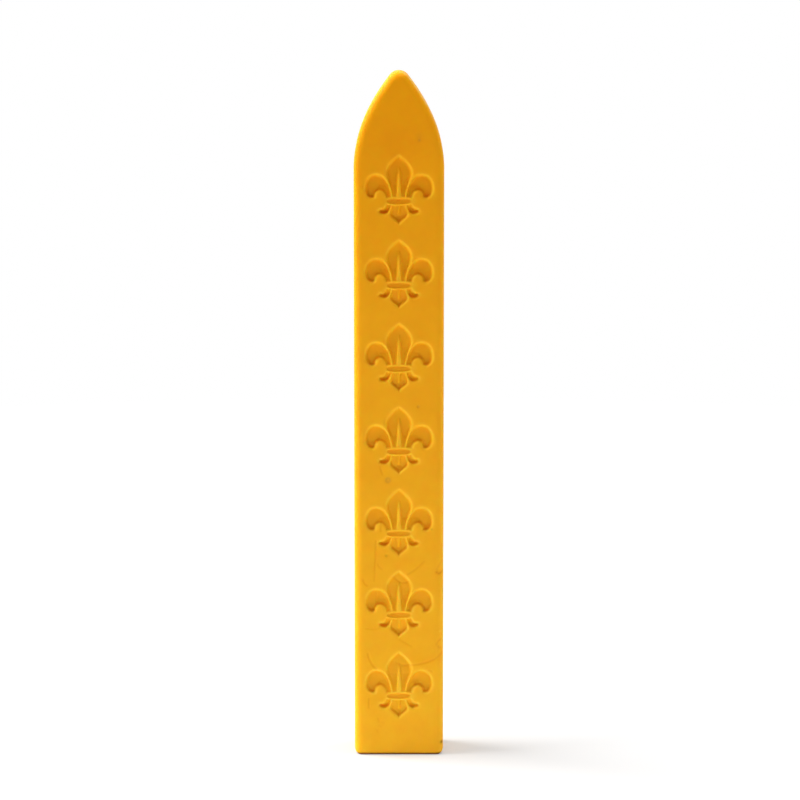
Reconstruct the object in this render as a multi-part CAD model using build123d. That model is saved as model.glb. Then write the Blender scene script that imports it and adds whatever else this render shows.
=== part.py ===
from build123d import *

import os
from math import cos, radians, sin, tan

# Sealing wax stick without a wick, cast in one piece. Millimetres.
# The stick stands on its base at the origin, +Z along its length, the lilies on its -Y face.

# Stick
stick_length = 90.0
stick_width = 11.7
stick_thickness = 8.0
tip_height = 12.3  # from the end of the straight sides to the tip
tip_radius = 1.5
tip_half_angle = 36.5  # degrees, from the stick's axis to its side at the tip
base_corner_radius = 0.6
edge_radius = 0.5  # around the front and the back face
edge_radius_limit = 0.9  # of the tightest corner that this rounding runs through

# Row of lilies
base_margin = 4.98  # from the base to the lowest lily
tip_margin = 10.0  # the least plain face between the highest lily and the tip
lily_gap = 2.07  # between one lily and the next

# One lily: seven hollows, parted by thin ridges at the level of the face. Angles are in degrees.
hollow_depth = 0.6  # petals and shield
slim_depth = 0.4  # band and lower curls
wall_draft = 15.0  # how far each hollow's wall leans out
ridge_width = 0.16

band_length = 3.16
band_height = 0.74

petal_height = 5.4  # middle petal, from its foot to its point
petal_width = 3.4
petal_foot_width = 1.76
petal_bend_height = 2.15  # from its foot to where its sides lean out the most
petal_belly_height = 3.2  # to its widest place
petal_shoulder_height = 4.35  # to where its upright sides would meet the slants to its point
rib_length = 3.5  # raised rib in the middle petal
rib_width = 0.7  # at its foot

side_petal_foot_width = 0.5
side_petal_height = 3.1  # from its foot to its top
side_petal_rise = 1.85  # from its foot, the part of the height in which it leans out the least
side_petal_crown = 0.95  # from its top back towards the lily's axis, the part that stays nearly level
side_petal_top_reach = 2.8  # from the lily's axis to its top
side_petal_tip_reach = 3.45  # from the lily's axis to its tip
side_petal_tip_drop = 0.2  # from its foot down to its tip
eye_radius = 0.9  # the bay under the side petal
eye_turn = 165.0

curl_reach = 0.98  # lower curl, from the lily's axis to its foot
curl_foot_width = 0.6
curl_end_reach = 2.38  # from the lily's axis to the middle of its round end
curl_end_width = 0.76
curl_drop = 1.2  # from its foot to its lowest place

shield_height = 2.39  # lowest leaf, from its top to its point
shield_width = 2.38
shield_top_width = 1.6
shield_belly_drop = 1.3  # from its top to its widest place
shield_corner_radius = 0.4
shield_rib_length = 0.9
shield_rib_width = 0.36

# Worked out from these. Heights on a lily count up from the middle of its band.
edge_fillet = min(edge_radius, edge_radius_limit * min(base_corner_radius, tip_radius))
petal_foot = band_height / 2 + ridge_width
shield_top = -petal_foot
lily_top = petal_foot + petal_height
lily_bottom = shield_top - shield_height
lily_pitch = lily_top - lily_bottom + lily_gap
lowest_band = base_margin - lily_bottom
row_length = stick_length - tip_margin - lily_top - lowest_band
lily_count = 1 + int(row_length / lily_pitch)


def mirrored(edges):
    """The edges and their mirror images on the other side of the lily's or the stick's axis."""
    return [*edges, *(mirror(edge, Plane.YZ) for edge in edges)]


def stick_body():
    """The plain stick: straight sides, an ogive, a small round tip, and rounded edges."""
    half = stick_width / 2
    lean = radians(tip_half_angle)
    tip = (0, stick_length)
    touch_x = tip_radius * cos(lean)
    touch_y = stick_length - tip_radius + tip_radius * sin(lean)
    bend_y = touch_y - (half - touch_x) / tan(lean)
    shoulder = (half, stick_length - tip_height)
    right = [
        Line((0, 0), (half, 0)),
        Line((half, 0), shoulder),
        Bezier(shoulder, (half, bend_y), (touch_x, touch_y)),
    ]
    crown = ThreePointArc((touch_x, touch_y), tip, (-touch_x, touch_y))
    outline = Plane.XZ * make_face([*mirrored(right), crown])
    body = extrude(outline, amount=stick_thickness / 2, both=True)
    body = fillet(body.edges().filter_by(Axis.Y).group_by(Axis.Z)[0], base_corner_radius)
    faces = body.faces().sort_by(Axis.Y)
    return fillet(faces[0].edges() + faces[-1].edges(), edge_fillet)


def hollow(outline, depth):
    """A flat-floored hollow with leaning walls, from an outline at z = 0 to its inset copy deeper in +Z."""
    run = depth * tan(radians(wall_draft))
    return loft([outline(0), Pos(0, 0, depth) * outline(run)], ruled=True)


def rib(foot, tip, width):
    """A sharp rib, which rises from the floor of a hollow at its tip to the face at its foot."""
    section = Polyline((-width / 2, hollow_depth), (0, 0), (width / 2, hollow_depth), close=True)
    foot_plane = Plane((0, foot, 0), x_dir=(1, 0, 0), z_dir=(0, -1, 0))
    return loft([foot_plane * make_face(section), Vertex(0, tip, hollow_depth)])


def band(inset):
    return SlotOverall(band_length - 2 * inset, band_height - 2 * inset)


def middle_petal(inset):
    half = petal_width / 2 - inset
    foot_half = petal_foot_width / 2 - inset
    foot = petal_foot + inset
    bend = petal_foot + petal_bend_height
    belly = petal_foot + petal_belly_height
    shoulder = petal_foot + petal_shoulder_height - inset
    side = [
        Bezier((half, belly), (half, shoulder), (0, lily_top - inset)),
        Bezier((half, belly), (half, bend), (foot_half, bend), (foot_half, foot)),
    ]
    return make_face([*mirrored(side), Line((-foot_half, foot), (foot_half, foot))])


def side_petal(inset):
    foot = petal_foot + inset
    inner = petal_foot_width / 2 + ridge_width + inset
    outer = inner + side_petal_foot_width - 2 * inset
    top = (side_petal_top_reach, petal_foot + side_petal_height - inset)
    bend = (inner, petal_foot + side_petal_rise)
    crown = (side_petal_top_reach - side_petal_crown, petal_foot + side_petal_height - inset)
    tip = (side_petal_tip_reach + inset, petal_foot - side_petal_tip_drop + inset)
    flank = Bezier((inner, foot), bend, crown, top)
    curl = TangentArc(top, tip, tangent=(1, 0))
    eye = JernArc((outer, foot), (0, 1), eye_radius + inset, -eye_turn)
    return make_face([flank, curl, Line(tip, eye @ 1), eye, Line((outer, foot), (inner, foot))])


def lower_curl(inset):
    top = shield_top - inset
    lowest = shield_top - curl_drop + inset
    inner = (curl_reach + inset, top)
    outer = (curl_reach + curl_foot_width - inset, top)
    below = TangentArc(inner, (curl_end_reach, lowest), tangent=(0, -1))
    end = TangentArc(below @ 1, (curl_end_reach, lowest + curl_end_width - 2 * inset), tangent=below % 1)
    above = TangentArc(end @ 1, outer, tangent=end % 1)
    return make_face([below, end, above, Line(outer, inner)])


def shield(inset):
    half = shield_width / 2 - inset
    top_half = shield_top_width / 2 - inset
    top = shield_top - inset
    belly = shield_top - shield_belly_drop
    point = (0, lily_bottom + inset)
    right = [(top_half, top), (half, belly)]
    left = [(-half, belly), (-top_half, top)]
    outline = make_face(Polyline(*right, point, *left, close=True))
    corners = outline.vertices().sort_by(Axis.X)
    return fillet([corners[0], corners[-1]], shield_corner_radius)


def lily():
    """The seven hollows of one lily, lying flat with the middle of its band at the origin."""
    petal_rib = rib(petal_foot, petal_foot + rib_length, rib_width)
    shield_rib = rib(shield_top, shield_top - shield_rib_length, shield_rib_width)
    on_axis = [
        hollow(band, slim_depth),
        hollow(middle_petal, hollow_depth) - petal_rib,
        hollow(shield, hollow_depth) - shield_rib,
    ]
    beside = [hollow(side_petal, hollow_depth), hollow(lower_curl, slim_depth)]
    return [*on_axis, *mirrored(beside)]


stick = stick_body()
front = Plane((0, -stick_thickness / 2, lowest_band), x_dir=(-1, 0, 0), z_dir=(0, 1, 0))
hollows = lily()
for number in range(lily_count):
    place = Pos(0, 0, number * lily_pitch) * front.location
    stick -= [place * piece for piece in hollows]

os.makedirs("parts", exist_ok=True)
export_step(stick, "parts/wax_stick.step")
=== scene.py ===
# %% [markdown]
# # A stick of sealing wax
# Sealing wax for letters is melted, poured into a mould and turned out as one small solid bar.
# This one is flat, ends in a pointed arch, and carries a row of sunk lilies that the mould has pressed
# into its front. The CAD model of the bar is the frame: it gives the size and the place of everything.
# Here the same bar is made again as one fine skin, so that the lilies get soft lips and the wax gets
# the small marks of casting and handling that a plain solid lacks.

import bmesh
import bpy
import numpy as np
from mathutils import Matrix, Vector


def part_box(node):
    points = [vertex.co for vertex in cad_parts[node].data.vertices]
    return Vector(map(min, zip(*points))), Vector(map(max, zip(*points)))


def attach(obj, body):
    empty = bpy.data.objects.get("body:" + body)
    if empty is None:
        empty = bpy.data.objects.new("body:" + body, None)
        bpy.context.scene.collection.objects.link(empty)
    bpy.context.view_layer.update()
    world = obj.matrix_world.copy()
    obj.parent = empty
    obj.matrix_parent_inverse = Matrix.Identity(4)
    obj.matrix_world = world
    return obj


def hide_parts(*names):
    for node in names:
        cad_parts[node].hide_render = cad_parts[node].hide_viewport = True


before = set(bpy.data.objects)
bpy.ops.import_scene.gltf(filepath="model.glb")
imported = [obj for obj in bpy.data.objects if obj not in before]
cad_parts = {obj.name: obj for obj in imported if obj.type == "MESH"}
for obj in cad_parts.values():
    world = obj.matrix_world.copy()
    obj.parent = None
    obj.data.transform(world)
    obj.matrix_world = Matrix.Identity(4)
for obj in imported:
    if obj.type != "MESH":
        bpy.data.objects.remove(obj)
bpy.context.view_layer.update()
MM = 0.001
low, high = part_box("wax_stick")
stick_width, stick_thickness, stick_length = (np.array(high - low) / MM).round(3)
print("CAD stick", stick_width, stick_thickness, stick_length, "mm")

# %% [markdown]
# ## The outline of the bar
# Seen from the front, the bar has a round corner at the base, a straight side, a pointed arch and a
# small round tip. One could bevel a box, but the arch would be hard to place. A function that gives half
# the width at every height is exact, and the rows of the skin can then follow it. All sizes are in
# millimetres until the mesh is made.

# %% Half of the width at each height
base_corner = 0.85
tip_height = 12.3
tip_radius = 1.5
tip_lean = np.radians(38)
half = stick_width / 2
shoulder_z = stick_length - tip_height
tip_centre_z = stick_length - tip_radius
touch_x = tip_radius * np.cos(tip_lean)
touch_z = tip_centre_z + tip_radius * np.sin(tip_lean)
bend_z = touch_z - (half - touch_x) / np.tan(tip_lean)
arch_bow = shoulder_z - 2 * bend_z + touch_z


def half_width(z):
    """Half the width at height z. In the base corner and the tip it follows a circle: the root of the radius
    squared less the height from the centre squared. The arch is a parabola: the share t of the way from
    shoulder to tip solves a quadratic in z, and the width falls with t squared."""
    corner = half - base_corner + np.sqrt(np.maximum(base_corner**2 - (base_corner - z) ** 2, 0))
    rise = np.maximum(z - shoulder_z, 0)
    steep = 2 * (bend_z - shoulder_z)
    t = 2 * rise / (steep + np.sqrt(steep**2 + 4 * arch_bow * rise))
    arch = half - (half - touch_x) * t**2
    tip = np.sqrt(np.maximum(tip_radius**2 - (z - tip_centre_z) ** 2, 0))
    return np.where(z < base_corner, corner, np.where(z < touch_z, arch, tip))


print("half width at shoulder and touch point", half_width(np.array([shoulder_z, touch_z])).round(3))

# %% [markdown]
# ## How far a point lies from the edge
# The front and the back are rounded off along their whole border. The rounding needs each point's
# distance to the border. The outline bulges outwards everywhere, so that distance is the smallest of the
# distances to its tangent lines: no search along the curve is needed.

# %% Tangent lines
corner_turn = np.radians(np.linspace(-90, 0, 10))
arch_t = np.linspace(0, 1, 36)
tip_turn = np.linspace(tip_lean, np.pi / 2, 16)
arch_slope = (1 - arch_t) * (bend_z - shoulder_z) + arch_t * (touch_z - bend_z)
arch_run = arch_t * (half - touch_x)
arch_z = shoulder_z + 2 * arch_t * (bend_z - shoulder_z) + arch_t**2 * arch_bow
touch_points = np.concatenate([
    np.c_[half - base_corner + base_corner * np.cos(corner_turn), base_corner * (1 + np.sin(corner_turn))],
    np.c_[half - (half - touch_x) * arch_t**2, arch_z],
    np.c_[tip_radius * np.cos(tip_turn), tip_centre_z + tip_radius * np.sin(tip_turn)],
])
outward = np.concatenate([
    np.c_[np.cos(corner_turn), np.sin(corner_turn)],
    np.c_[arch_slope, arch_run] / np.hypot(arch_slope, arch_run)[:, None],
    np.c_[np.cos(tip_turn), np.sin(tip_turn)],
])
reach = (touch_points * outward).sum(1)
print(len(reach), "tangent lines")

# %% Rounding of the border
side_rounding, base_rounding, tip_rounding = 1.15, 0.3, 0.88
round_by = np.interp(outward[:, 1], [-1, 0], [base_rounding, side_rounding])


def rounding(x, z):
    """How far the face falls back at (x, z): for each tangent line zero inside, then a quarter circle down
    to the border, and of all lines the largest. The circle is small at the base, and on the sides it
    shrinks evenly from the base to the tip."""
    to_border = reach - np.stack([np.abs(x), z], -1) @ outward.T
    radius = round_by * np.interp(z, [0, stick_length], [1, tip_rounding / side_rounding])[..., None]
    inwards = radius - np.clip(to_border, 0, radius)
    return (radius - np.sqrt(radius**2 - inwards**2)).max(-1)


half_way = np.array([stick_length / 2])
print("half-way up, the rounding is", rounding(np.array([half]), half_way).round(3), "mm deep at the side")

# %% [markdown]
# ## The outlines of one lily
# A lily is seven hollows with thin ridges between them: a middle petal, two side petals that curl over,
# a band, two small curls below it and a shield-shaped leaf. The engraver of the mould drew them with long
# sweeps, so Bezier curves describe them well. Only the right half is written down, because distances are
# later taken at the absolute value of x. Heights count from the band's middle.

# %% Curves
def bezier(*corners, count=24):
    """A Bezier curve: neighbouring corner points are mixed in the ratio t, again and again, until one
    is left."""
    t = np.linspace(0, 1, count)[:, None]
    layers = [np.tile(np.array(corner, float), (count, 1)) for corner in corners]
    while len(layers) > 1:
        layers = [(1 - t) * a + t * b for a, b in zip(layers, layers[1:])]
    return layers[0]


def chain(*curves):
    """One line of points from Bezier curves, each of which starts where the one before it ends."""
    return np.concatenate([bezier(*curve) for curve in curves])


def both_sides(right):
    """A closed outline from its right half, which runs from the axis to the axis."""
    return np.concatenate([right, right[::-1] * [-1, 1]])


print(len(bezier((0, 0), (0, 1), (1, 1))), "points on a curve")

# %% The five outlines
middle_petal = both_sides(chain(
    [(0, 5.72), (0.72, 5.27), (1.6, 4.45), (1.53, 3.5)],
    [(1.53, 3.5), (1.5, 2.75), (0.95, 2.0), (0.84, 0.6)],
))
side_petal = chain(
    [(0.97, 0.58), (1.05, 1.85), (1.75, 3.33), (3.0, 3.33)],
    [(3.0, 3.33), (3.8, 3.33), (4.27, 2.5), (4.27, 1.63)],
    [(4.27, 1.63), (4.27, 1.0), (3.95, 0.55), (3.53, 0.53)],
    [(3.53, 0.53), (3.35, 0.52), (3.23, 0.55), (3.2, 0.67)],
    [(3.2, 0.67), (3.17, 1.1), (2.9, 1.48), (2.49, 1.48)],
    [(2.49, 1.48), (2.0, 1.48), (1.63, 1.05), (1.61, 0.52)],
)
band = both_sides(chain(
    [(0, 0.38), (0.9, 0.38), (1.54, 0.36), (1.54, 0.02)],
    [(1.54, 0.02), (1.54, -0.32), (0.9, -0.37), (0, -0.37)],
))
lower_curl = chain(
    [(1.0, -0.43), (1.05, -1.0), (1.3, -1.6), (1.85, -1.62)],
    [(1.85, -1.62), (2.2, -1.63), (2.57, -1.5), (2.57, -1.25)],
    [(2.57, -1.25), (2.57, -1.08), (2.4, -1.06), (2.3, -1.06)],
    [(2.3, -1.06), (1.95, -1.06), (1.7, -0.85), (1.6, -0.38)],
)
shield = both_sides(chain(
    [(0, -0.5), (0.4, -0.5), (0.84, -0.5)],
    [(0.84, -0.5), (0.92, -0.9), (1.1, -1.25), (1.1, -1.55)],
    [(1.1, -1.55), (1.1, -1.95), (0.5, -2.25), (0, -2.77)],
))
outlines = (middle_petal, side_petal, band, lower_curl, shield)
MIDDLE, SIDE, BAND, CURL, SHIELD = range(len(outlines))
print("lily from", shield[:, 1].min(), "to", middle_petal[:, 1].max(), "mm high")
print("and", side_petal[:, 0].max(), "mm to each side")

# %% [markdown]
# ## From outlines to hollows
# Wax shrinks and softens as it sets, so no edge of a hollow stays sharp: the face bends down to a narrow
# lip, the wall drops, and a round leads to the floor. Boolean cuts would leave hard edges and a ragged
# mesh. Here the depth is a function of the distance to the outline: outside it the lip falls away gently,
# inside it the wall falls steeply and flattens out. The floors rise towards the band. Where a hollow is
# narrow, the wall never reaches the floor, and the hollow comes out as a shallow groove, as it does on the
# real bar.

# %% Distance to a line or an outline
def nearest(line, x, z, closed=False):
    """Distance from every point to a chain of straight pieces: the point is dropped onto each piece, no
    further than its ends, and the smallest distance counts. For a closed chain it is positive inside, which
    holds where a level ray to the right crosses the chain an odd number of times."""
    ends = np.roll(line, -1, 0) if closed else line[1:]
    start = line if closed else line[:-1]
    kept = np.hypot(*(ends - start).T) > 1e-9
    start, step = start[kept], (ends - start)[kept]
    to_x, to_z = x[..., None] - start[:, 0], z[..., None] - start[:, 1]
    share = np.clip((to_x * step[:, 0] + to_z * step[:, 1]) / (step**2).sum(1), 0, 1)
    distance = np.hypot(to_x - share * step[:, 0], to_z - share * step[:, 1]).min(-1)
    if not closed:
        return distance
    spans = (to_z < 0) != (to_z < step[:, 1])
    crossing = to_x * step[:, 1] < to_z * step[:, 0]
    inside = (spans & (crossing == (step[:, 1] > 0))).sum(-1) % 2 == 1
    return np.where(inside, distance, -distance)


print("the band is", 2 * nearest(band, np.zeros(1), np.zeros(1), True).round(2), "mm high at its middle")

# %% Ribs
crest_flatness, sink_pace, sink_bend, foot_overrun = 1.25, 2.5, 0.7, 0.3


def unit(value):
    """The value, held between 0 and 1."""
    return np.clip(value, 0, 1)


def rib(x, along, foot_half, tip_half):
    """Height of a rib with a flattened round top, from 0 to 1. Its half width falls from the foot to the
    tip of its length. Its section is one less the square of the share of that width, stretched and cut
    off at 1. It starts a little before its foot, and sinks into the floor near its tip."""
    half_here = foot_half + (tip_half - foot_half) * unit(along)
    section = unit(crest_flatness * (1 - (x / half_here) ** 2))
    return section * unit(sink_pace * (1 - along)) ** sink_bend * (along > -foot_overrun)


near_tip = rib(np.zeros(1), np.array([0.9]), 1, 1).round(2)
print("after nine tenths of its length a rib has", near_tip, "of its height")

# %% Floors
middle_depth, petal_depth, band_depth, curl_depth, shield_depth = 0.52, 0.68, 0.17, 0.64, 0.58
upper_foot, upper_run = 0.45, 1.6
knee_x, knee_run = 2.0, 0.7
lower_foot, curl_run, shield_run = -0.5, 0.8, 1.5
middle_rib_foot, middle_rib_length, middle_rib_part = 0.6, 3.8, 0.92
shield_rib_length, shield_rib_part = 1.3, 0.75


def falling(depth, along, foot_part):
    """Depth of a floor that has only a part of its depth at its foot and falls evenly to the whole."""
    return depth * (foot_part + (1 - foot_part) * unit(along))


def floors_at(x, z):
    """Depth of the five floors at (x, z), and the height of the middle rib from 0 to 1. The band is level.
    The other floors fall away from their feet beside the band, a side petal's also beyond its knee, and
    the ribs of the middle petal and the shield fill most of their depth."""
    from_foot = (z - upper_foot) / upper_run
    beyond_knee = (x - knee_x) / knee_run
    middle_floor = falling(middle_depth, from_foot, foot_part=0.3)
    side_floor = falling(petal_depth, np.maximum(from_foot, beyond_knee), foot_part=0.4)
    curl_floor = falling(curl_depth, (lower_foot - z) / curl_run, foot_part=0.5)
    shield_floor = falling(shield_depth, (lower_foot - z) / shield_run, foot_part=0.5)
    middle_rib = rib(x, (z - middle_rib_foot) / middle_rib_length, foot_half=0.42, tip_half=0.15)
    shield_rib = rib(x, (lower_foot - z) / shield_rib_length, foot_half=0.24, tip_half=0.12)
    middle_floor = middle_floor * (1 - middle_rib_part * middle_rib)
    shield_floor = shield_floor * (1 - shield_rib_part * shield_rib)
    floors = np.broadcast_arrays(middle_floor, side_floor, band_depth, curl_floor, shield_floor)
    return np.stack(floors), middle_rib


beside_rib = floors_at(np.array([1.0]), np.array([3.0]))[0]
print("middle petal beside its rib", beside_rib[MIDDLE].round(2), "mm deep")

# %% Depth of one lily
lip_depth, lip_width, lip_bend, band_lip = 0.14, 0.32, 1.6, 0.4
wall_width, band_wall_width, wall_bend = 0.3, 0.14, 2.6
outward_shift, free_gap = 0.08, 0.5


def lily_relief(x, z):
    """Depth of the hollows at (x, z), measured from the middle of the lily's band, the distance to the
    nearest outline, the height of the middle rib from 0 to 1, and the number of that outline. Outside the
    outline the lip falls with a power of its share. Inside, the wall follows one less a power of the share
    that is left. The lip fades out where a second hollow is near, so that ridges stay high and narrow, and
    petals and shield widen a little where none is near."""
    x = np.abs(x)
    inside = np.stack([nearest(outline, x, z, True) for outline in outlines])
    floors, middle_rib = floors_at(x, z)
    which = inside.argmax(0)
    floor = np.take_along_axis(floors, which[None], 0)[0]
    second, first = np.sort(inside, 0)[-2:]
    first = first + outward_shift * (unit(-second / free_gap) * np.isin(which, (MIDDLE, SIDE, SHIELD)))
    lip = np.where(which == BAND, band_lip, 1) * lip_depth * unit(-second / (2 * lip_width))
    wall = 1 - unit(1 - first / np.where(which == BAND, band_wall_width, wall_width)) ** wall_bend
    drop = lip * unit(1 + first / lip_width) ** lip_bend
    depth = np.where(first < 0, drop, lip + (floor - lip) * wall)
    return depth, first, np.where(which == MIDDLE, middle_rib, 0), which


print("depth in a side petal", lily_relief(np.array([3.4]), np.array([2.0]))[0].round(3), "mm")

# %% [markdown]
# ## Rows and columns of the skin
# The skin is a tube of level rings, one above the other. Its columns lie close together where the lilies
# are, and crowd into the rounded edges. Its rows are spaced so that one lily takes a whole number of
# them, and the depth of one lily can be used for all seven. At the tip the rows follow the round of the
# circle, and the last ring closes to a short ridge.

# %% Rows
lily_count, lily_pitch, lowest_band = 7, 10.92, 7.97
lily_start = -3.2
stops, counts = (lily_start, -0.8, 1.7, 6.1, lily_pitch + lily_start), (23, 28, 37, 12)
lily_rows = np.concatenate([np.linspace(a, b, n)[:-1] for a, b, n in zip(stops, stops[1:], counts)])
all_lilies = (lowest_band + lily_pitch * np.arange(lily_count)[:, None] + lily_rows).ravel()
tip_angles = np.radians(np.linspace(24, 90, 15))
tip_rows = tip_centre_z + tip_radius * np.sin(tip_angles)
rows = np.concatenate([
    base_corner * (1 - np.cos(np.radians(np.linspace(0, 90, 9)))),
    np.linspace(base_corner, all_lilies[0], 22)[1:-1],
    all_lilies,
    np.linspace(all_lilies[-1], tip_rows[0], 30)[1:-1],
    tip_rows,
])
print(len(rows), "rows,", len(lily_rows), "of them for each lily")

# %% Columns
fine_half, lily_half, edge_zone = 1.7, 4.66, 1.17
lily_columns = np.r_[np.linspace(0, fine_half, 20)[:-1], np.linspace(fine_half, lily_half, 26)]
front_turn, back_turn = (np.radians(np.linspace(0, 90, count)) for count in (8, 6))
front_half = np.r_[lily_columns, half - side_rounding * (1 - np.sin(front_turn))]
back_half = np.r_[0, 2, 4, half - side_rounding * (1 - np.sin(back_turn))]
front_columns, back_columns = (np.r_[-half_row[:0:-1], half_row] for half_row in (front_half, back_half))
print(len(front_columns), "columns in front,", len(back_columns), "behind")


def spread(columns):
    """The columns' places in every row: inside lily_half they stay where they are as long as the bar is
    wide enough, near the edge they keep their distance to it, and between the two they share what is left."""
    width = half_width(rows)[:, None]
    margin = np.minimum(edge_zone, width / 2)
    inner = np.minimum(lily_half, width - margin)
    size = np.abs(columns)
    near_axis = size * inner / lily_half
    middle = inner + (size - lily_half) / (half - edge_zone - lily_half) * (width - margin - inner)
    edge = width - (half - size) * margin / edge_zone
    place = np.where(size <= lily_half, near_axis, np.where(size < half - edge_zone, middle, edge))
    return np.sign(columns) * place


front_x, back_x = spread(front_columns), spread(back_columns)
front_z, back_z = (np.repeat(rows[:, None], x.shape[1], 1) for x in (front_x, back_x))

# %% [markdown]
# ## Marks of casting and handling
# Wax that cools while it is poured shows laps, fine curved lines where one flow met the next. Handling
# leaves hairlines and pits, and at the edge short cracks and chips. They could be a bump texture, but a
# real groove catches the light from every side, so they are added to the depth of the skin. Each line is a
# Bezier curve of a few points, in millimetres from the bar's axis and its base, with its width and depth.

# %% Laps and hairlines
laps = [
    (bezier((5.85, 14.1), (5.1, 12.7), (3.2, 12.35), (0.7, 12.0)), 0.13, 0.06),
    (bezier((0.8, 12.0), (0.2, 12.05), (-0.4, 12.45)), 0.12, 0.05),
    (bezier((-4.05, 13.7), (-3.9, 12.5), (-2.9, 11.6)), 0.13, 0.06),
    (bezier((3.3, 26.1), (2.4, 25.1), (1.2, 24.4)), 0.12, 0.05),
    (bezier((-2.8, 25.8), (-2.6, 25.4), (-2.2, 25.1)), 0.12, 0.04),
    (bezier((-0.6, 23.9), (0.3, 22.8), (1.2, 23.3)), 0.12, 0.07),
    (bezier((0.1, 15.6), (0.8, 15.2), (1.7, 14.7)), 0.13, 0.04),
    (bezier((-4.7, 23.7), (-4.5, 23.0), (-4.1, 22.9)), 0.12, 0.05),
    (bezier((-1.07, 10.86), (0.1, 10.8), (1.23, 10.86)), 0.1, 0.03),
    (bezier((-0.98, 19.07), (-0.5, 18.95), (0.0, 18.8)), 0.1, 0.06),
]
hairlines = [
    (bezier((-3.0, 28.9), (-3.1, 26.0), (-3.2, 23.5)), 0.09, 0.05),
    (bezier((-3.0, 21.9), (-3.1, 21.0), (-3.15, 20.2)), 0.08, 0.07),
    (bezier((-2.45, 38.8), (-2.3, 38.2), (-2.1, 37.7)), 0.1, 0.06),
    (bezier((-4.3, 17.1), (-3.4, 17.0), (-2.6, 17.1)), 0.1, 0.03),
    (bezier((-3.95, 7.6), (-4.0, 7.0), (-3.95, 6.4)), 0.1, 0.05),
    (bezier((3.9, 11.45), (4.2, 11.4), (4.4, 11.3)), 0.1, 0.06),
    (bezier((-2.33, 31.3), (-2.4, 30.8), (-2.37, 30.2)), 0.1, 0.05),
    (bezier((4.13, 32.2), (4.16, 31.9), (4.13, 31.5)), 0.1, 0.05),
    (bezier((-2.75, 4.95), (-2.7, 4.7), (-2.55, 4.5)), 0.1, 0.05),
    (bezier((-2.25, 4.45), (-2.1, 4.3), (-1.95, 4.3)), 0.1, 0.04),
    (bezier((-2.6, 4.0), (-2.5, 3.9), (-2.35, 3.9)), 0.1, 0.04),
    (bezier((-3.05, 3.4), (-2.9, 3.3), (-2.75, 3.15)), 0.1, 0.04),
]
print(len(laps), "laps and", len(hairlines), "hairlines")

# %% Cracks, chips and pits
# A chip has its outline, the width of its slope and its depth. A pit has its place, radius and depth.
cracks = [
    (bezier((4.85, 24.75), (5.35, 24.15), (5.75, 24.85), count=10), 0.12, 0.14),
    (bezier((5.73, 26.3), (5.3, 25.6), (4.88, 24.93), count=10), 0.12, 0.06),
    (bezier((5.5, 15.64), (4.6, 15.0), (5.4, 14.47), count=10), 0.12, 0.08),
]
chips = [
    (np.array([(6.0, 26.6), (4.85, 24.85), (5.3, 24.5), (6.0, 25.0)]), 0.15, 0.13),
    (np.array([(6.0, 16.1), (5.1, 15.05), (6.0, 14.1)]), 0.2, 0.08),
]
pits = [
    (-1.64, 26.9, 0.16, 0.1),
    (2.54, 46.7, 0.14, 0.08),
    (2.64, 81.4, 0.15, 0.05),
    (-1.43, 36.85, 0.32, 0.05),
]
lines = laps + hairlines + cracks
print(len(cracks), "cracks,", len(chips), "chips and", len(pits), "pits")

# %% Depth of the marks
def groove(curve, x, z, width):
    """A soft groove along a curve: the exponential of minus the square of the distance over the width."""
    return np.exp(-((nearest(curve, x, z) / width) ** 2))


def spot(x, z, u, v, radius):
    """A soft round spot at (u, v): the exponential of minus the square of the distance over the radius."""
    return np.exp(-((x - u) ** 2 + (z - v) ** 2) / radius**2)


marks = np.zeros_like(front_x)
for curve, width, depth in lines:
    marks = np.maximum(marks, depth * groove(curve, front_x, front_z, width))
for outline, width, depth in chips:
    marks += depth * unit(nearest(outline, front_x, front_z, True) / width)
for u, v, radius, depth in pits:
    marks += depth * spot(front_x, front_z, u, v, radius)
print("deepest mark", marks.max().round(3), "mm")

# %% [markdown]
# ## The whole depth of the front and the back
# A cast face is never quite flat. A few slow waves in drawn directions bend it by some hundredths of a
# millimetre, enough to make the sheen wander. Noise for each point would look like sand instead. The waves
# fade out in the rounding, so that the border stays where the outline puts it.

# %% Unevenness
draw = np.random.default_rng(7)
waviness, wave_count, shortest_wave, longest_wave = 0.03, 9, 7, 30


def unevenness(x, z):
    """A mean of slow sine waves with drawn directions, lengths and phases, kept at or below the face."""
    heading = draw.uniform(0, np.pi, wave_count)
    phase = draw.uniform(0, 2 * np.pi, wave_count)
    pace = 2 * np.pi / draw.uniform(shortest_wave, longest_wave, wave_count)
    along = x[..., None] * np.cos(heading) + z[..., None] * np.sin(heading)
    return waviness * (1 + np.sin(along * pace + phase).mean(-1))


print(wave_count, "waves of", shortest_wave, "to", longest_wave, "mm on each face")

# %% Add up the depths
lily_x, lily_z = np.meshgrid(front_columns, lily_rows)
one_lily, to_outline, on_rib, which = lily_relief(lily_x, lily_z)
first_row = np.searchsorted(rows, all_lilies[0] - 1e-6)
lily_span = np.s_[first_row:first_row + len(all_lilies)]
lilies = np.zeros_like(front_x)
lilies[lily_span] = np.tile(one_lily, (lily_count, 1))
front_round, back_round = rounding(front_x, front_z), rounding(back_x, back_z)
front_loose, back_loose = (unit(1 - fall / base_rounding) for fall in (front_round, back_round))
front_depth = front_round + lilies + marks + unevenness(front_x, front_z) * front_loose
back_depth = back_round + unevenness(back_x, back_z) * back_loose
print("front up to", front_depth.max().round(3), "mm deep, back up to", back_depth.max().round(3), "mm")

# %% [markdown]
# ## The skin
# Each ring runs across the front from left to right, back along the right side, across the back, and
# forward along the left side, so the faces between two rings point outwards. One could subdivide and
# sculpt a box, but here each point comes from its depth. The rings are stacked into one array, the base
# is closed with one flat face, and the points that meet at the tip are merged.

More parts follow.
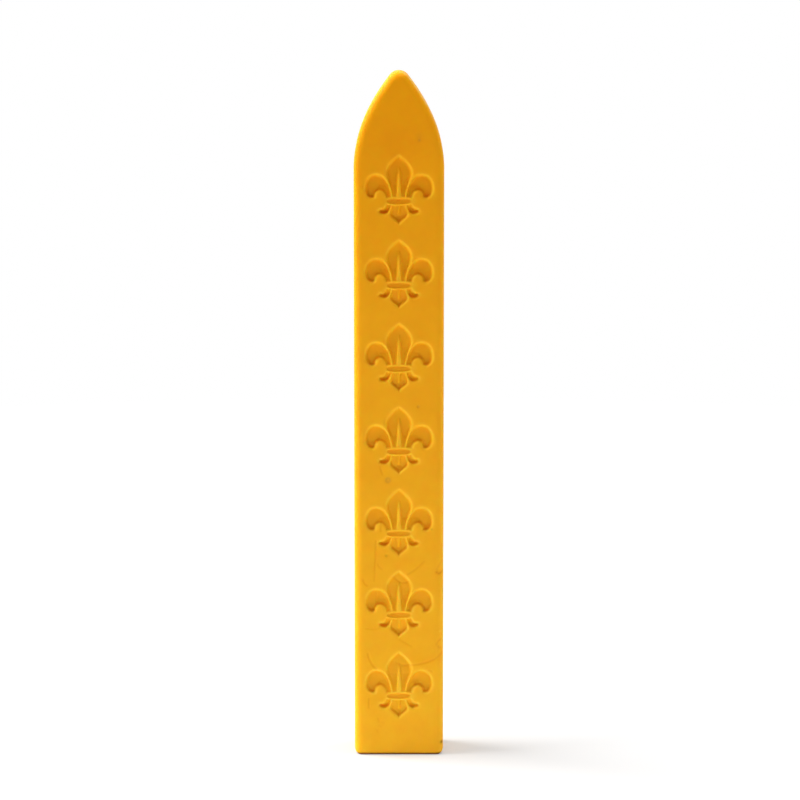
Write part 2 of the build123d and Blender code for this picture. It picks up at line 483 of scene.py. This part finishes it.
# %% Rings
side_y = np.linspace(-1, 1, 5)[1:-1] * (stick_thickness / 2 - side_rounding)


def points(x, y, z):
    """Points from three arrays of coordinates, stretched to one common grid."""
    return np.stack(np.broadcast_arrays(x, y, z), -1)


side_x, level = half_width(rows)[:, None], rows[:, None]
rings = np.concatenate([
    points(front_x, front_depth - stick_thickness / 2, front_z),
    points(side_x, side_y, level),
    points(back_x, stick_thickness / 2 - back_depth, back_z)[:, ::-1],
    points(-side_x, -side_y, level),
], axis=1)
row_count, ring_size = rings.shape[:2]
print(row_count, "rings of", ring_size, "points")

# %% [markdown]
# ## Stains, wear and painted light
# The lips of the hollows are paler: partly rubbed by handling, and partly a painted highlight, which is
# strongest at the top and the right of each hollow and also lies on the middle rib, in a soft glow around
# the outlines and beside the right end of the band. Painted shade darkens the lines, the bands, the lower
# walls of the hollows, which face up, the low part of each left curl and a broad patch in the arch below the
# tip. Soot lies in a few specks, painted shade runs along the foot of the bar, and there are some faint
# smudges. All this could be painted on an image. Numbers on the points of the mesh need no image and follow
# the shape by themselves: each is a soft function of place or of the distance to an outline, and the wax
# reads it by its name.

# %% Smudges, soot specks and painted shade at the foot
x, y, z = np.moveaxis(rings, -1, 0)
stain_depth, stain_fade = 1.0, 0.5
on_front = unit((stain_depth - stick_thickness / 2 - y) / stain_fade)


def spots(places):
    """The strongest of several soft round spots, each with place, radius and strength, on the front only."""
    cover = [strength * spot(x, z, u, v, radius) for u, v, radius, strength in places]
    return on_front * np.max(cover, axis=0)


smudge = spots([
    (-1.43, 36.95, 0.45, 0.12),
    (2.54, 46.7, 0.2, 0.2),
    (2.64, 81.4, 0.2, 0.24),
    (2.6, 81.95, 0.4, 0.07),
])
ring_x, ring_z, ring_radius, ring_width, ring_strength = -1.43, 36.95, 0.27, 0.14, 0.14
from_ring = np.hypot(x - ring_x, z - ring_z) - ring_radius
smudge += on_front * ring_strength * np.exp(-((from_ring / ring_width) ** 2))
soot_and_shade = spots([(5.7, 1.65, 0.2, 1.0), (-1.64, 26.9, 0.17, 0.2), (4.3, 30.4, 0.12, 0.3)])
# Painted shade: the foot of the bar is darkened with the soot colour where it stands on the table.
foot_shade_height = 0.26
soot_and_shade = np.maximum(soot_and_shade, np.exp(-((z / foot_shade_height) ** 4)))
print("points with soot:", int((soot_and_shade > 0.05).sum()), "with smudges:", int((smudge > 0.05).sum()))

# %% Rubbed lips and painted highlights
# The distance to an outline grows inwards, so on a right lip it falls towards the right.
rising, rightward = np.gradient(to_outline, lily_rows, front_columns)
rub_place, rub_width, rub_strength, band_rub, rib_highlight = -0.08, 0.14, 0.56, 0.4, 0.5
# Painted highlight: the lips at the top and the right of each hollow are made paler than the rest, as light
# from the left and from below would make them.
rub_even, painted_light_right, painted_light_above = 0.75, 0.22, 0.2
# Painted highlight: a soft pale glow just outside each outline.
halo_width, halo_strength = 0.5, 0.18
# Painted highlight: a pale patch beside the right end of the band.
beside_band, beside_band_highlight = (1.95, 0.05, 0.4), 0.2
on_lip = np.exp(-(((to_outline - rub_place) / rub_width) ** 2)) * np.where(which == BAND, band_rub, 1)
painted_glow = np.where(to_outline < 0, halo_strength * np.exp(-((to_outline / halo_width) ** 2)), 0)
lit_side_share = rub_even - painted_light_right * rightward - painted_light_above * rising
# Painted highlight: the middle rib is made paler as well.
lily_wear_and_highlight = np.maximum((painted_glow + rub_strength * on_lip) * lit_side_share, rib_highlight * on_rib)
lily_wear_and_highlight += beside_band_highlight * spot(lily_x, lily_z, *beside_band)
on_lilies = np.s_[lily_span, :len(front_columns)]
# A pale spot near the right edge, above the lower chip.
rubbed_and_highlight = spots([(5.43, 16.7, 0.17, 0.6)])
rubbed_and_highlight[on_lilies] += np.tile(lily_wear_and_highlight, (lily_count, 1))
print("rubbed up to", rubbed_and_highlight.max().round(2))

# %% Painted shade in hollows and lines
shade_reach, shade_strength, inner_fade = 0.2, 0.6, 0.15
band_shade, curl_shade, line_shade, line_deep_shade = 0.35, 0.5, 2.8, 0.9
shaded_depth, depth_fade = 0.25, 0.2
shaded_curl_z, curl_fade = -1, 0.3
band_corner, corner_shade = (-1.5, 0.42, 0.25), 0.3
# Painted shade: near the outline the lower walls of the hollows, which face up, are darkened, more where the
# hollow is deep; also the inside of the band, the low part of the left curl and the band's left corner.
hollow_shade = np.where(to_outline > 0, unit(rising) * np.exp(-((to_outline / shade_reach) ** 2)), 0)
hollow_shade *= unit((one_lily - shaded_depth) / depth_fade)
hollow_shade += band_shade * (which == BAND) * unit(to_outline / inner_fade)
left_curl = (which == CURL) * (lily_x < 0)
low_in_curl = unit((shaded_curl_z - lily_z) / curl_fade)
hollow_shade += curl_shade * left_curl * unit(to_outline / inner_fade) * low_in_curl
hollow_shade += corner_shade * spot(lily_x, lily_z, *band_corner)
# Painted shade: a broad, faint patch in the arch below the tip.
painted_shade = spots([(-0.2, 80.5, 3.2, 0.14)])
painted_shade[on_lilies] += shade_strength * np.tile(hollow_shade, (lily_count, 1))
# Painted shade: the grooves of the lines are darkened with the dust colour and the soot colour.
for curve, width, depth in lines:
    in_line = on_front * depth * groove(curve, x, z, width)
    soot_and_shade = np.maximum(soot_and_shade, line_deep_shade * in_line)
    painted_shade = np.maximum(painted_shade, line_shade * in_line)
print("dust up to", painted_shade.max().round(2))

# %% Build the mesh
index = np.arange(row_count * ring_size).reshape(row_count, ring_size)
around = np.roll(index, -1, 1)
quads = np.stack([index[:-1], around[:-1], around[1:], index[1:]], -1).reshape(-1, 4)
mesh = bpy.data.meshes.new("sealing_wax_stick")
mesh.from_pydata((rings * MM).reshape(-1, 3).tolist(), [], [*quads.tolist(), index[0, ::-1].tolist()])
for name, cover in (("smudge", smudge), ("soot_and_shade", soot_and_shade), ("rubbed_and_highlight", rubbed_and_highlight), ("painted_shade", painted_shade)):
    mesh.attributes.new(name, "FLOAT", "POINT").data.foreach_set("value", cover.astype(np.float32).ravel())
skin = bmesh.new()
skin.from_mesh(mesh)
bmesh.ops.remove_doubles(skin, verts=skin.verts, dist=1e-7)
open_edges = sum(not edge.is_manifold for edge in skin.edges)
volume = skin.calc_volume(signed=True) / MM**3
skin.to_mesh(mesh)
skin.free()
mesh.shade_smooth()
stick = bpy.data.objects.new("sealing_wax_stick", mesh)
bpy.context.scene.collection.objects.link(stick)
print(len(mesh.polygons), "faces,", open_edges, "open edges, volume", round(volume), "cubic mm")

# %% [markdown]
# ## Sealing wax
# Sealing wax is resin and paraffin with a pigment. It is cast against a smooth mould, so it is satin, not
# glossy, and light enters it and comes out again a little further on: edges glow, and shaded hollows turn a
# deeper orange instead of grey. Plain diffuse paint would look like plastic. Subsurface scattering gives
# exactly that glow. The colour is painted lighter and yellower towards the base, as the light from the table
# below would make it, and it is mottled at a scale of a few millimetres, as stirred pigment is.

# %% Colours and nodes
def linear(hex_colour):
    """An sRGB hex colour as the linear red, green, blue and alpha that Blender computes with."""
    s = np.array([int(hex_colour[i:i + 2], 16) for i in (1, 3, 5)]) / 255
    return (*np.where(s <= 0.04045, s / 12.92, ((s + 0.055) / 1.055) ** 2.4), 1.0)


def add_node(tree, kind, inputs=None, **settings):
    """Adds one node, sets its properties, and fills its sockets with values or links them to other
    sockets."""
    node = tree.nodes.new(kind)
    for name, value in settings.items():
        setattr(node, name, value)
    for name, value in (inputs or {}).items():
        if isinstance(value, bpy.types.NodeSocket):
            tree.links.new(value, node.inputs[name])
        else:
            node.inputs[name].default_value = value
    return node


def new_material(name):
    """A material without nodes, and its empty node tree."""
    material = bpy.data.materials.new(name)
    material.use_nodes = True
    material.node_tree.nodes.clear()
    return material, material.node_tree


print("half of the sRGB scale is", round(linear("#808080")[0], 3), "of white light")

# %% Colour of the wax
# Pigment stirred into melted wax: a warm yellow that is faintly clouded, never one flat colour.
# A colour mix has its factor in socket 0, its two colours in 6 and 7, and its result in output 2.
wax, tree = new_material("sealing_wax")
place = add_node(tree, "ShaderNodeTexCoord").outputs["Object"]
height = add_node(tree, "ShaderNodeSeparateXYZ", {0: place}).outputs["Z"]
upwards = add_node(tree, "ShaderNodeMapRange", {
    "Value": height, "From Max": stick_length * MM}).outputs["Result"]
# Painted light: lighter and yellower at the base and a deeper orange towards the tip, as the table's light
# from below would make it.
tone_and_painted_bounce = add_node(tree, "ShaderNodeMix", {
    0: upwards, 6: linear("#FDBD24"), 7: linear("#FAA902")}, data_type="RGBA").outputs[2]
mottle_size = 4 * MM
mottle = add_node(tree, "ShaderNodeTexNoise", {
    "Vector": place, "Scale": 1 / mottle_size, "Detail": 4.0, "Roughness": 0.6}).outputs[0]
clouded = add_node(tree, "ShaderNodeMapRange", {
    "Value": mottle, "From Min": 0.35, "From Max": 0.7, "To Max": 0.22}).outputs[0]
colour = add_node(tree, "ShaderNodeMix", {
    0: clouded, 6: tone_and_painted_bounce, 7: linear("#DE940F")}, data_type="RGBA").outputs[2]
# The paler lips are partly wear and partly painted highlight, and they are also painted lighter towards the
# base, as the table's light would make them.
rub_and_highlight_colour = add_node(tree, "ShaderNodeMix", {
    0: upwards, 6: linear("#FFCF42"), 7: linear("#FFC222")}, data_type="RGBA").outputs[2]
# The pale colour is wear and painted highlight, the dust colour is painted shade, the soot colour is soot
# specks and painted shade at the foot and in the lines, and the smudges are stains.
stains = {
    "rubbed_and_highlight": rub_and_highlight_colour,
    "painted_shade": linear("#E87400"),
    "smudge": linear("#8A5642"),
    "soot_and_shade": linear("#5A2300"),
}
for name, stain in stains.items():
    cover = add_node(tree, "ShaderNodeAttribute", attribute_name=name).outputs["Fac"]
    colour = add_node(tree, "ShaderNodeMix", {0: cover, 6: colour, 7: stain}, data_type="RGBA").outputs[2]
print("wax colour with", len(stains), "stains")

# %% Surface of the wax
# Cast in a smooth mould: a soft, broad sheen, broken up by a fine grain of a third of a millimetre.
grain_size, grain_height = 0.35 * MM, 0.02 * MM
grain = add_node(tree, "ShaderNodeTexNoise", {"Vector": place, "Scale": 1 / grain_size, "Detail": 2.0})
satin = add_node(tree, "ShaderNodeMapRange", {"Value": mottle, "To Min": 0.42, "To Max": 0.58})
bump = add_node(tree, "ShaderNodeBump", {
    "Height": grain.outputs[0], "Strength": 0.25, "Distance": grain_height})
surface = add_node(tree, "ShaderNodeBsdfPrincipled", {
    "Base Color": colour, "Roughness": satin.outputs[0], "Normal": bump.outputs[0], "IOR": 1.44,
    "Specular IOR Level": 0.1, "Subsurface Weight": 0.7, "Subsurface Radius": (1.0, 0.4, 0.1),
    "Subsurface Scale": 0.3 * MM,
})
add_node(tree, "ShaderNodeOutputMaterial", {"Surface": surface.outputs[0]})
mesh.materials.append(wax)
print("wax material with", len(tree.nodes), "nodes")

# %% Put the skin on the frame
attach(stick, "root")
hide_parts("wax_stick")
print(stick.name, "stands in for the wax_stick of the CAD model")

# %% [markdown]
# ## Table and surroundings
# The bar stands on a plain white table in a bright, even room. A square table would show its corners from
# other sides, so it is a wide disc. It is really lit, so it keeps the soft shadow and throws light back
# up into the lilies. For the camera it gets a white veil, which thickens with the distance from the bar
# until the far edge can't be told from the room. The room is white for the camera and dimmer for the
# light it sends.

# %% Table
table_radius, table_drop = 0.3, 2e-5
spokes, circles = 96, 24
angles = np.linspace(0, 2 * np.pi, spokes, endpoint=False)
turn, ring = np.meshgrid(angles, np.linspace(0, 1, circles) ** 2 * table_radius)
disc = points(ring * np.cos(turn), ring * np.sin(turn), -table_drop)
number = np.arange(circles * spokes).reshape(circles, spokes)
onward = np.roll(number, -1, 1)
tiles = np.stack([number[:-1], number[1:], onward[1:], onward[:-1]], -1).reshape(-1, 4)
table_mesh = bpy.data.meshes.new("table")
table_mesh.from_pydata(disc.reshape(-1, 3).tolist(), [], tiles.tolist())
table = bpy.data.objects.new("table", table_mesh)
bpy.context.scene.collection.objects.link(table)
print("table with", len(tiles), "faces")

# %% White table top
veil_start, veil_end = 0.1, 0.28


def seen_directly(tree):
    """1 for rays from the camera, from mirrors and through glass, 0 for the light that falls on things."""
    path = add_node(tree, "ShaderNodeLightPath").outputs
    seen = path["Is Camera Ray"]
    for kind in ("Is Glossy Ray", "Is Transmission Ray"):
        seen = add_node(tree, "ShaderNodeMath", {0: seen, 1: path[kind]}, operation="MAXIMUM").outputs[0]
    return seen


# Matt paper on a board: it scatters light evenly and shows no gloss.
paper, tree = new_material("matt_white_table")
matt = add_node(tree, "ShaderNodeBsdfDiffuse", {"Color": linear("#F4F4F4")})
place = add_node(tree, "ShaderNodeTexCoord").outputs["Object"]
from_bar = add_node(tree, "ShaderNodeVectorMath", {0: place}, operation="LENGTH").outputs["Value"]
outwards = {"Value": from_bar, "From Min": veil_start, "From Max": veil_end}
smooth = {"interpolation_type": "SMOOTHSTEP"}
strength = add_node(tree, "ShaderNodeMapRange", {**outwards, "To Min": 0.7, "To Max": 1.05}, **smooth)
share = add_node(tree, "ShaderNodeMapRange", {**outwards, "To Min": 0.4, "To Max": 1.0}, **smooth)
glow = add_node(tree, "ShaderNodeEmission", {"Strength": strength.outputs[0]})
veil = add_node(tree, "ShaderNodeMath", {0: seen_directly(tree), 1: share.outputs[0]}, operation="MULTIPLY")
both = add_node(tree, "ShaderNodeMixShader", {0: veil.outputs[0], 1: matt.outputs[0], 2: glow.outputs[0]})
add_node(tree, "ShaderNodeOutputMaterial", {"Surface": both.outputs[0]})
table_mesh.materials.append(paper)
print("table material with", len(tree.nodes), "nodes")

# %% Room
room_light, room_seen = 0.32, 1.0
room = bpy.data.worlds.new("bright_room")
bpy.context.scene.world = room
room.use_nodes = True
tree = room.node_tree
tree.nodes.clear()
strength = add_node(tree, "ShaderNodeMapRange", {
    "Value": seen_directly(tree), "To Min": room_light, "To Max": room_seen})
air = add_node(tree, "ShaderNodeBackground", {"Color": (1, 1, 1, 1), "Strength": strength.outputs[0]})
add_node(tree, "ShaderNodeOutputWorld", {"Surface": air.outputs[0]})
print("room light", room_light, "and room as seen", room_seen)

# %% [markdown]
# ## Lamps
# One broad soft lamp stands to the left and lays a soft shadow to the right. A second one hangs above and
# a little behind the bar, lights the table in front of it, and so fills the lilies from below. A weak low
# one on the right keeps that edge from going dull. Small lamps would be easier to aim, but their shadows
# would be hard.

# %% Lamps
def soft_lamp(name, place, aim, width, height, power):
    """A rectangular lamp at a place, turned towards its aim. Lengths are in metres, power in watts."""
    light = bpy.data.lights.new(name, "AREA")
    light.shape = "RECTANGLE"
    light.size, light.size_y = width, height
    light.energy = power
    lamp = bpy.data.objects.new(name, light)
    lamp.location = place
    lamp.rotation_euler = (Vector(aim) - Vector(place)).to_track_quat("-Z", "Y").to_euler()
    bpy.context.scene.collection.objects.link(lamp)
    print(name, power, "W")


soft_lamp("left_lamp", (-0.78, 0.1, 0.62), (0, 0, 0.03), 0.8, 0.6, 12.2)
soft_lamp("upper_lamp", (0, 0.05, 1.2), (0, -0.02, 0), 1.2, 0.4, 10.5)
soft_lamp("right_fill", (0.6, -0.05, 0.03), (0, 0, 0.02), 0.3, 0.06, 0.35)

# %% [markdown]
# ## Camera
# The picture was taken from the front and a little above, from about forty centimetres away with a long
# lens: the level lines of the bar stay level, and its sides almost parallel. The focal length is worked out
# from the size of the bar in the picture, in pixels.

# %% Camera
focal_pixels, picture_pixels, sensor = 3154.7, 800, 36.0
camera_place, downward_tilt = np.array([0.14, -409.6, 111.6]), 8.97
view = bpy.data.cameras.new("camera")
view.sensor_width = sensor
view.lens = sensor * focal_pixels / picture_pixels
view.clip_start, view.clip_end = 0.01, 50
camera = bpy.data.objects.new("camera", view)
camera.location = camera_place * MM
camera.rotation_euler = (np.radians(90 - downward_tilt), 0, 0)
bpy.context.scene.collection.objects.link(camera)
bpy.context.scene.camera = camera
bpy.context.scene.view_settings.view_transform = "Standard"
print("lens", round(view.lens, 1), "mm")
